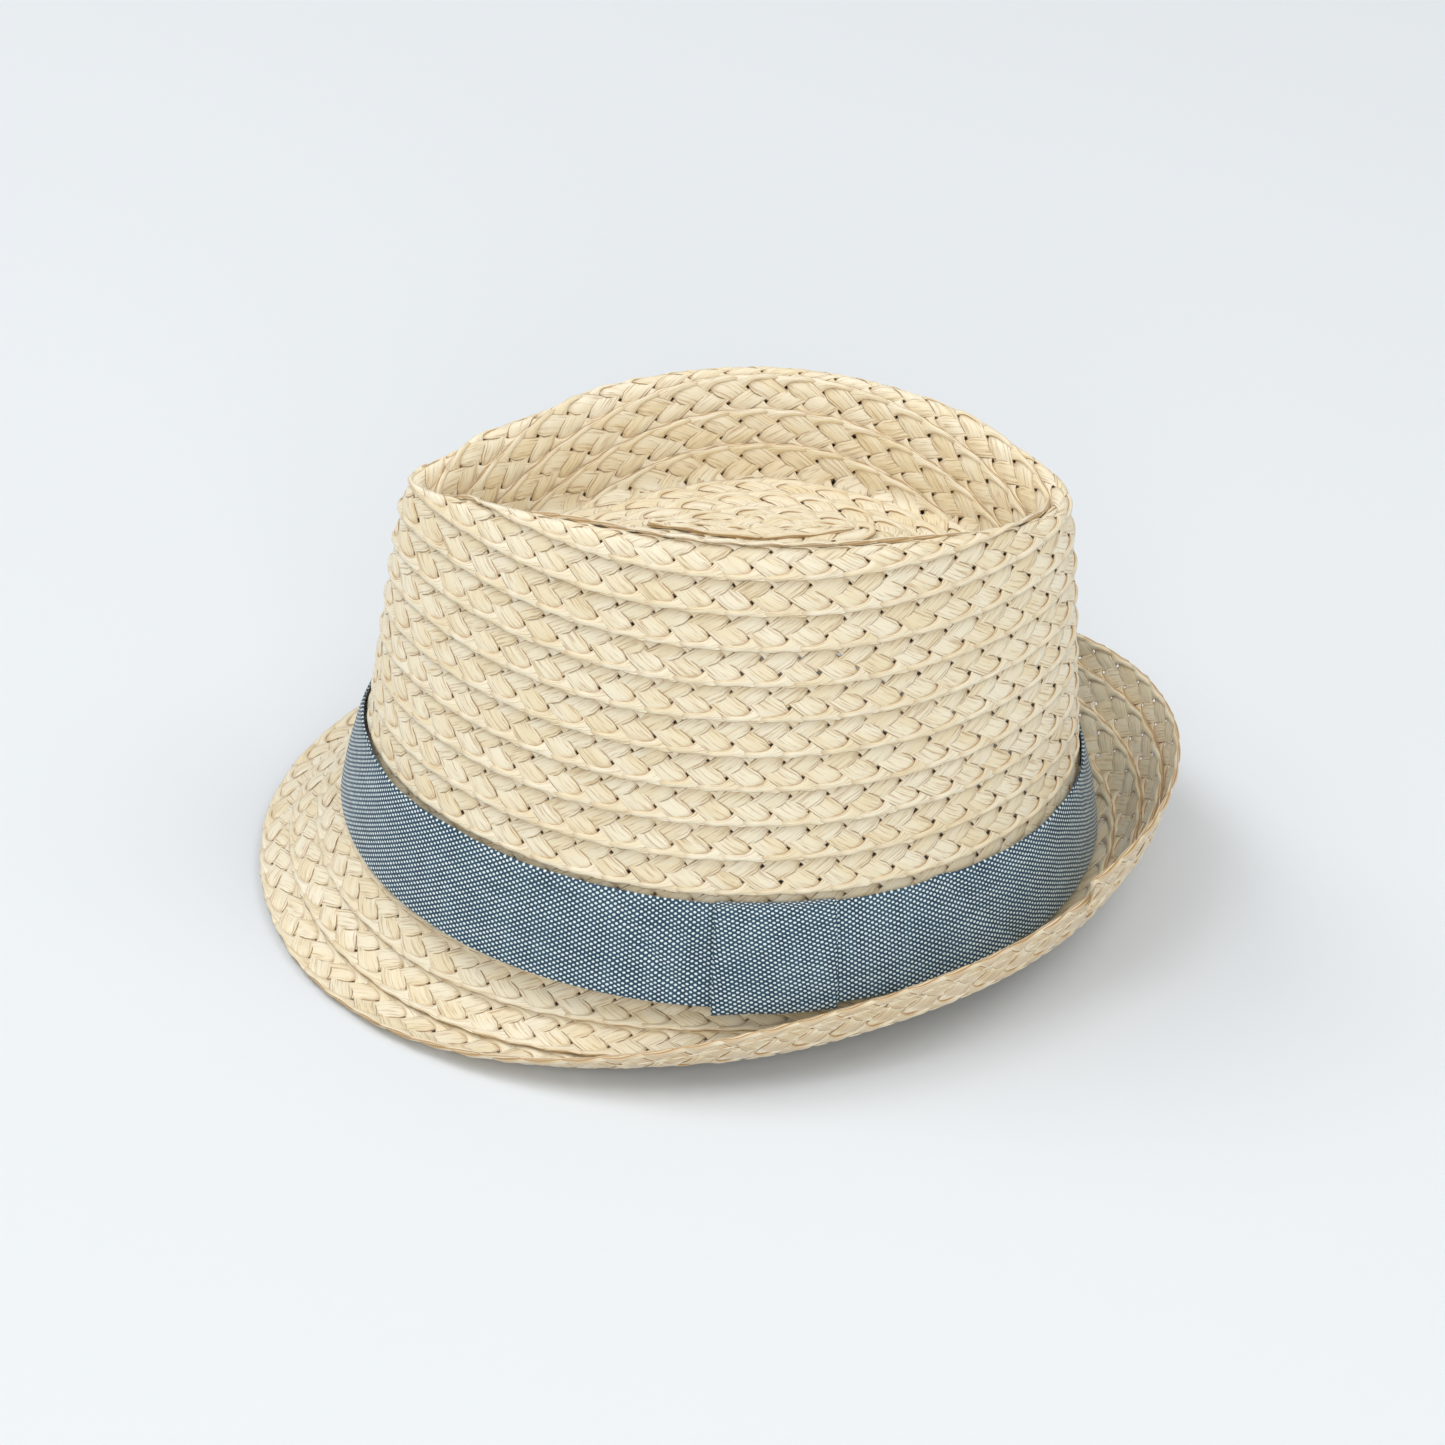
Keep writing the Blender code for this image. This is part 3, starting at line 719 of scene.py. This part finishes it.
band = {
    "height": 24.5 * mm, "lift": 1.5 * mm, "thick": 0.8 * mm, "flares": (3.8 * mm, 6.0 * mm, 4.2 * mm),
    "clear": 0.75 * mm,      # its top edge stands this far off the braid's outer face
    "belly": 0.5 * mm, "join": 2.0 * mm,
    "stations": 420, "rows": 14,
    # folds: depth, angle round the head, width in radians
    "slack": (1.3 * mm, radians(-62), 0.22),   # loose at the front of the top edge
    "crease": (0.9 * mm, radians(52), 0.035),  # behind the keeper
    "gather": (1.1 * mm, radians(-1.2), 0.035),  # drawn in at the keeper's left edge
    "puckers": (1.0, radians(-7), 0.16),
    "keeperAt": 9.7, "keeperWidth": 32.0 * mm, "keeperThick": 0.80 * mm, "keeperGap": 0.55 * mm,
    "keeperOpen": 1.2 * mm,  # its left edge stands off the band by this much more
    "keeperTop": 0.15 * mm,  # room over the band's top edge
    "keeperBow": 0.35 * mm, "keeperLean": 0.0035, "keeperSkew": 0.13, "keeperLong": 28.5 * mm,
    "keeperStations": 34, "keeperRows": 12, "keeperFold": 0.07,
}


def wave(value, *parts):  # a sum of sines: height, rate and phase of each
    return sum(h * sin(rate * value + phase) for h, rate, phase in parts)


def bump(value, centre, width):
    return float(np.exp(-((value - centre) / width) ** 2))


def foldAt(kind, t, shift=0.0):
    depth, centre, width = band[kind]
    return depth * bump(t, centre + shift, width)


# a point of the band's inner face at angle t: share 0 at its lower edge, 1 at its upper edge
def bandPoint(t, share, out):
    turn = t / (2 * pi)
    way = outward(t)
    low = headLine(t) + standAt + way * (around(t, *band["flares"]) - band["thick"]) + up * band["lift"]
    row = hat["brimRows"] + (band["height"] + band["lift"]) / hat["rowPitch"]
    high = formPoint(turn, row) + way * band["clear"]
    at = low + (high - low) * share + way * (out + band["belly"] * sin(pi * share))
    loose = foldAt("slack", t) * share * share
    fold = -foldAt("crease", t, -0.25 * share)
    pucker = foldAt("puckers", t) * wave(t + 0.25 * share, (0.35 * mm, 62.0, 0.4), (0.2 * mm, 101.0, 1.9))
    pucker -= foldAt("gather", t, -0.12 * (0.5 - share)) * bump(share, 0.40, 0.38)
    ease = wave(t, (0.16 * mm, 7.0, 0.3), (0.12 * mm, 13.0, 2.2), (0.07 * mm, 29.0 + 6 * share, 1.0))
    return at + way * (loose + fold + pucker * sin(pi * share) ** 0.5 + ease * share)


def bandSection(thick, rows, edge):  # share of the height, place through the thickness, arc along the section
    section = [(k / rows, 0.0) for k in range(rows + 1)]
    section += [(1 + edge * 0.8, thick * 0.2), (1 + edge, thick * 0.5), (1 + edge * 0.8, thick * 0.8)]
    section += [(1 - k / rows, thick) for k in range(rows + 1)]
    section += [(-edge * 0.8, thick * 0.8), (-edge, thick * 0.5), (-edge * 0.8, thick * 0.2)]
    return section


def makeBand():
    join = radians(band["keeperAt"])
    half = band["join"] / hat["headLength"]
    section = bandSection(band["thick"], band["rows"], 0.4 * mm / band["height"])
    loops, uvs, along = [], [], 0.0
    for k in range(band["stations"] + 1):
        t = join + half + (2 * pi - 2 * half) * k / band["stations"]
        t = t if t <= pi else t - 2 * pi
        loop = [bandPoint(t, share, out) for share, out in section]
        if loops:
            along += float(np.linalg.norm(loop[5] - loops[-1][5]))
        loops.append(loop)
        rise = [share * band["height"] for share, _ in section]
        uvs.append([(along, v) for v in rise + rise[:1]])
    piece = strip("hat_band_cloth", loops, uvs, chambrayMaterial)
    dress(piece, stands=("hat_band",))
    return along


# distance of each point of a loop from its point number zero, measured along the loop
def arcRise(loop, zero):
    steps = np.linalg.norm(np.diff(np.array(loop), axis=0), axis=1)
    lengths = np.concatenate([[0], np.cumsum(steps)])
    return list(lengths - lengths[zero])


def makeKeeper():
    thick, gap = band["keeperThick"], band["keeperGap"]
    half = band["keeperWidth"] / hat["headLength"]
    middle = radians(band["keeperAt"])
    low = (gap + thick) / band["height"]
    lowSlack = gap / band["height"]
    topSlack = band["keeperTop"] / band["height"]
    top = topSlack + 0.6 * thick / band["height"]
    full = band["thick"] + gap
    stations, rows, fold = band["keeperStations"], band["keeperRows"], band["keeperFold"]
    # the section is a C open towards the hat: share of the band's height, distance from its inner face
    bow = band["keeperBow"]
    outside = [(-low, -gap * 0.4), (-low, full * 0.5), (-low * 0.8, full + thick * 0.7)]
    outside += [(j / rows, full + thick + bow * sin(pi * j / rows)) for j in range(rows + 1)]
    outside += [(1 + top * 0.8, full + thick * 0.7), (1 + top, full * 0.5), (1 + top, -gap * 0.4)]
    inside = [(1 + topSlack, -gap * 0.2), (1 + topSlack, full * 0.5), (1 + topSlack * 0.5, full)]
    inside += [(1 - j / rows, full) for j in range(rows + 1)]
    inside += [(-lowSlack * 0.5, full), (-lowSlack, full * 0.5), (-lowSlack, -gap * 0.2)]
    loops, uvs = [], []
    for k in range(stations + 1):
        s = 2.0 * k / stations - 1
        t = middle + half * s
        lean = band["keeperLean"] * s
        tuck = 1 - 0.55 * max(0.0, abs(s) - (1 - fold)) / fold  # the folded side edges are rounded
        ripple = wave(s, (0.10 * mm, 5.0, 0.7), (0.06 * mm, 11.0, 2.0))
        ripple += band["keeperOpen"] * max(0.0, -s) ** 3
        loop = []
        for share, out in outside:
            lifted = full + (out - full) * tuck + ripple if out > full else out
            loop.append(bandPoint(t + lean * (share - 0.5), share, lifted))
        loop += [bandPoint(t + lean * (share - 0.5), share, out) for share, out in inside]
        loops.append(loop)
        rise = arcRise(loop, 10)
        across = s * band["keeperWidth"]
        uvs.append([(across / 2 + band["keeperSkew"] * v, v - 0.02 * across) for v in rise + rise[:1]])
    piece = strip("band_keeper_cloth", loops, uvs, chambrayMaterial)
    dress(piece, stands=("band_keeper",))


bandLength = makeBand()
makeKeeper()
print("hat band", round(bandLength, 3), "m and its keeper")

sweat = {
    "height": 28.0 * mm, "lift": 1.0 * mm, "thick": 0.7 * mm, "stations": 300, "rows": 10,
    "depth": 3.9 * mm,  # behind the form's outer face
    "seamHeight": 4.0 * mm, "seamPoints": 240,
}


def insidePoint(t, height, depth):
    turn = t / (2 * pi)
    at = formPoint(turn, hat["brimRows"] + height / hat["rowPitch"])
    above = formPoint(turn, hat["brimRows"] + (height + 2 * mm) / hat["rowPitch"])
    beside = formPoint((turn + 0.004) % 1.0, hat["brimRows"] + height / hat["rowPitch"])
    return at - unit(np.cross(beside - at, above - at)) * depth


def makeSweatband():
    section = bandSection(sweat["thick"], sweat["rows"], 0.35 * mm / sweat["height"])
    loops, uvs, along = [], [], 0.0
    for k in range(sweat["stations"]):
        t = -pi + 2 * pi * k / sweat["stations"]
        ease = wave(t, (0.12 * mm, 9.0, 0.5), (0.08 * mm, 17.0, 1.3))
        loop = []
        for share, out in section:
            depth = sweat["depth"] + out + ease * share + 0.1 * mm
            loop.append(insidePoint(t, sweat["lift"] + share * sweat["height"], depth))
        if loops:
            along += float(np.linalg.norm(loop[5] - loops[-1][5]))
        loops.append(loop)
        rise = [share * sweat["height"] for share, _ in section]
        uvs.append([(along, v) for v in rise + rise[:1]])
    along += float(np.linalg.norm(loops[0][5] - loops[-1][5]))
    uvs.append([(along, v) for _, v in uvs[0]])
    piece = strip("sweatband_tape", loops, uvs, tapeMaterial, ring=True)
    dress(piece, stands=("sweatband",))
    return along


# a soft label in its solid's place: it hangs from its top edge and curls a little at the foot
def makeLabel(node, body, curl):
    low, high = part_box(node)
    joint = next(j for j in frame["joints"] if j["child"] == body)
    hinge, axis = np.array(joint["pos_m"]), unit(np.array(joint["axis"]))
    inward = np.cross(axis, up) * (1 if np.dot(np.cross(axis, up), hinge) < 0 else -1)
    at = np.array([v.co for v in frame["nodes"][node].data.vertices])
    width = np.ptp((at - hinge) @ axis)
    long = high.z - low.z
    thick, columns, rows = 0.28 * mm, 16, 18
    loops, uvs = [], []
    for k in range(rows + 1):
        f = k / rows
        z = high.z - hinge[2] - f * long
        bend = curl * f * f
        places = [(-1 + 2 * j / columns, 0) for j in range(columns + 1)]
        places += [(1 - 2 * j / columns, 1) for j in range(columns + 1)]
        loop = []
        for s, side in places:
            lean = (side - 0.5) * thick + bend * (1 - 0.35 * s * s) + 0.10 * mm * sin(3 * s + 4 * f)
            loop.append(hinge + axis * s * width / 2 + up * z + inward * lean)
        loops.append(loop)
        across = [s * width / 2 for s, _ in places]
        uvs.append([(u, f * long) for u in across + across[:1]])
    piece = strip(node + "_satin", loops, uvs, satinMaterial)
    dress(piece, body, (node,))


sweatLength = makeSweatband()
makeLabel("care_label", "care_flap", 0.8 * mm)
makeLabel("size_label", "size_flap", 0.4 * mm)
print("sweatband", round(sweatLength, 3), "m and its labels")

# the lock stitch under the overlap of the rows
stitch = {
    "form": form, "course": courseLine, "finish": threadMaterial,
    "start": 0.0, "end": 1.0, "spacing": 4.4 * mm, "long": 3.9 * mm, "thick": 0.42 * mm,
    "across": -4.4 * mm, "height": -2.9 * mm, "rowPitch": hat["rowPitch"],
}


def stitchTree():
    g = Growth("stitches", stitch)
    ends = {"Start": g.vector(g.take("start")), "End": g.vector(g.take("end"))}
    line = g.add("GeometryNodeCurvePrimitiveLine", None, ends)
    points = g.add("GeometryNodeCurveToPoints", {"mode": "LENGTH"},
                   {"Curve": line, "Length": g.take("spacing")})
    s, _, _ = g.split(g.add("GeometryNodeInputPosition"))
    near = g.noise(g.vector(s * 400.0, 0.0, 0.0), 1.0, 1.0) - 0.5
    across = g.take("across") + near * (0.8 * mm)
    here, outside = g.onHat(s, across, g.take("height"))
    ahead, _ = g.onHat(s + g.take("long") * 0.5, across + near * (0.5 * mm), g.take("height"))
    behind, _ = g.onHat(s - g.take("long") * 0.5, across - near * (0.5 * mm), g.take("height"))
    run = g.vmath("SUBTRACT", ahead, behind)
    heading = g.store(points, "run", run, "FLOAT_VECTOR")
    heading = g.store(heading, "face", outside, "FLOAT_VECTOR")
    placed = g.add("GeometryNodeSetPosition", None, {"Geometry": heading, "Position": here})
    bead = g.add("GeometryNodeMeshUVSphere", None, {"Segments": 6, "Rings": 5, "Radius": 0.5})
    turn = g.add("FunctionNodeAlignRotationToVector", {"axis": "Z"},
                 {"Vector": g.read("run", "FLOAT_VECTOR")})
    turn = g.add("FunctionNodeAlignRotationToVector", {"axis": "X", "pivot_axis": "Z"},
                 {"Rotation": turn, "Vector": g.read("face", "FLOAT_VECTOR")})
    size = g.vector(g.take("thick"), g.take("thick"), g.take("long"))
    made = g.add("GeometryNodeInstanceOnPoints", None,
                 {"Points": placed, "Instance": bead, "Rotation": turn, "Scale": size})
    g.finish(made)
    return g


def makeStitches():
    tree = stitchTree()
    lastRow = hat["brimRows"] + hat["crownRows"]
    for name, low, high, node in (("brim_stitches", 1.2, 3.9, "brim_thread"),
                                  ("crown_stitches", 4.1, 18.6, "crown_thread"),
                                  ("tip_stitches", 18.6, lastRow - 0.8, "tip_thread")):
        piece = tree.grow(name, start=lengthAtRow(low), end=lengthAtRow(high))
        piece.data.shade_smooth()
        dress(piece, stands=(node,))
        print(name, len(piece.data.polygons), "faces")


makeStitches()


# rows of stitches along a line of points: the sweatband's seam and the labels' tops
seam = {"line": form, "finish": threadMaterial, "spacing": 3.4 * mm, "long": 2.9 * mm, "thick": 0.34 * mm}


def seamTree():
    g = Growth("seam", seam)
    line = g.add("GeometryNodeMeshToCurve", None, {"Mesh": g.meshOf("line")})
    points = g.add("GeometryNodeCurveToPoints", {"mode": "LENGTH"},
                   {"Curve": line, "Length": g.take("spacing")}, "Points")
    bead = g.add("GeometryNodeMeshUVSphere", None, {"Segments": 6, "Rings": 5, "Radius": 0.5})
    size = g.vector(g.take("thick"), g.take("thick"), g.take("long"))
    made = g.add("GeometryNodeInstanceOnPoints", None,
                 {"Points": points, "Instance": bead, "Rotation": g.also(points, "Rotation"), "Scale": size})
    g.finish(made)
    return g


def makeSeams():
    tree = seamTree()
    inside = sweat["depth"] + sweat["thick"] + 0.05 * mm
    points = sweat["seamPoints"]
    rings = [insidePoint(-pi + 2 * pi * k / points, sweat["seamHeight"], inside) for k in range(points + 1)]
    lines = [("sweatband_stitches", rings, "sweatband_thread")]
    for node in ("care_label_seam", "size_label_seam"):
        at = np.array([v.co for v in frame["nodes"][node].data.vertices])
        middle = at.mean(axis=0)
        way = unit(np.linalg.svd(at - middle, full_matrices=False)[2][0])
        half = np.ptp((at - middle) @ way) / 2
        lines.append((node.replace("seam", "stitches"), [middle - way * half, middle + way * half], node))
    for name, points, node in lines:
        mesh = bpy.data.meshes.new(name + "_line")
        mesh.from_pydata(points, [(i, i + 1) for i in range(len(points) - 1)], [])
        guide = newPiece(name + "_line", mesh)
        piece = tree.grow(name, line=guide)
        piece.data.shade_smooth()
        dress(piece, stands=(node,))
        bpy.data.objects.remove(guide)


makeSeams()

# the thread shanks that hold the band and the keeper keep their own solids
for tack in ("band_tack_front", "band_tack_right", "band_tack_back", "keeper_tack"):
    for place in frame["nodes"][tack].material_slots:
        place.material = threadMaterial

view = {
    "target": (0.0, 2.358 * mm, 44.577 * mm), "azimuth": 91.9255, "elevation": 36.2269,
    "distance": 1305.98 * mm, "lens": 119.58, "roll": 0.2557,
}


def makeCamera():
    az, el = radians(view["azimuth"]), radians(view["elevation"])
    back = Vector((sin(az) * cos(el), -cos(az) * cos(el), sin(el)))
    target = Vector(view["target"])
    right = Vector((0, 0, 1)).cross(back).normalized()
    rise = back.cross(right)
    roll = radians(view["roll"])
    x = right * cos(roll) + rise * sin(roll)
    y = -right * sin(roll) + rise * cos(roll)
    camera = bpy.data.objects.new("camera", bpy.data.cameras.new("camera"))
    camera.data.lens = view["lens"]
    camera.data.sensor_width = 36.0
    camera.data.clip_start, camera.data.clip_end = 0.05, 20.0
    turned = Matrix((x, y, back)).transposed().to_4x4()
    camera.matrix_world = Matrix.Translation(target + back * view["distance"]) @ turned
    bpy.context.scene.collection.objects.link(camera)
    bpy.context.scene.camera = camera


def softLight(name, place, size, power, colour):
    light = bpy.data.lights.new(name, "AREA")
    light.shape, light.size, light.energy, light.color = "DISK", size, power, colour
    lamp = bpy.data.objects.new(name, light)
    lamp.location = place
    lamp.rotation_euler = (Vector((0, 0, 0.05)) - Vector(place)).to_track_quat("-Z", "Y").to_euler()
    bpy.context.scene.collection.objects.link(lamp)


studio = {
    "half": 6.0, "under": 0.2 * mm, "floor": (0.745, 0.775, 0.80, 1.0),
    "air": (0.97, 0.985, 1.0, 1.0), "strength": 0.50,
    "lamps": (  # name, place, size, power, colour
        ("key", (-0.7, -1.3, 1.9), 1.0, 12.0, (1.0, 1.0, 1.0)),
        ("left", (0.2, -0.8, 2.0), 1.4, 11.0, (1.0, 1.0, 1.0)),
        ("right", (0.2, 1.1, 2.0), 1.4, 11.0, (1.0, 1.0, 1.0)),
        ("fill", (1.75, 0.15, 1.1), 1.3, 12.0, (1.0, 0.98, 0.95))),
}


def makeStudio():
    half = studio["half"]
    corners = [(-half, -half, 0), (half, -half, 0), (half, half, 0), (-half, half, 0)]
    mesh = bpy.data.meshes.new("floor")
    mesh.from_pydata(corners, [], [(0, 1, 2, 3)])
    floor = newPiece("floor", mesh)
    floor.location.z = min(0.0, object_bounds()[0][2]) - studio["under"]
    mesh.materials.append(wire(finish("floor"), colour=studio["floor"], rough=0.9))
    world = bpy.data.worlds.new("studio")
    bpy.context.scene.world = world
    world.use_nodes = True
    world.node_tree.nodes["Background"].inputs["Color"].default_value = studio["air"]
    world.node_tree.nodes["Background"].inputs["Strength"].default_value = studio["strength"]
    for lamp in studio["lamps"]:
        softLight(*lamp)


makeCamera()
makeStudio()

for guide in (form, courseLine):
    bpy.data.objects.remove(guide)
bpy.context.scene.view_settings.view_transform = "Standard"
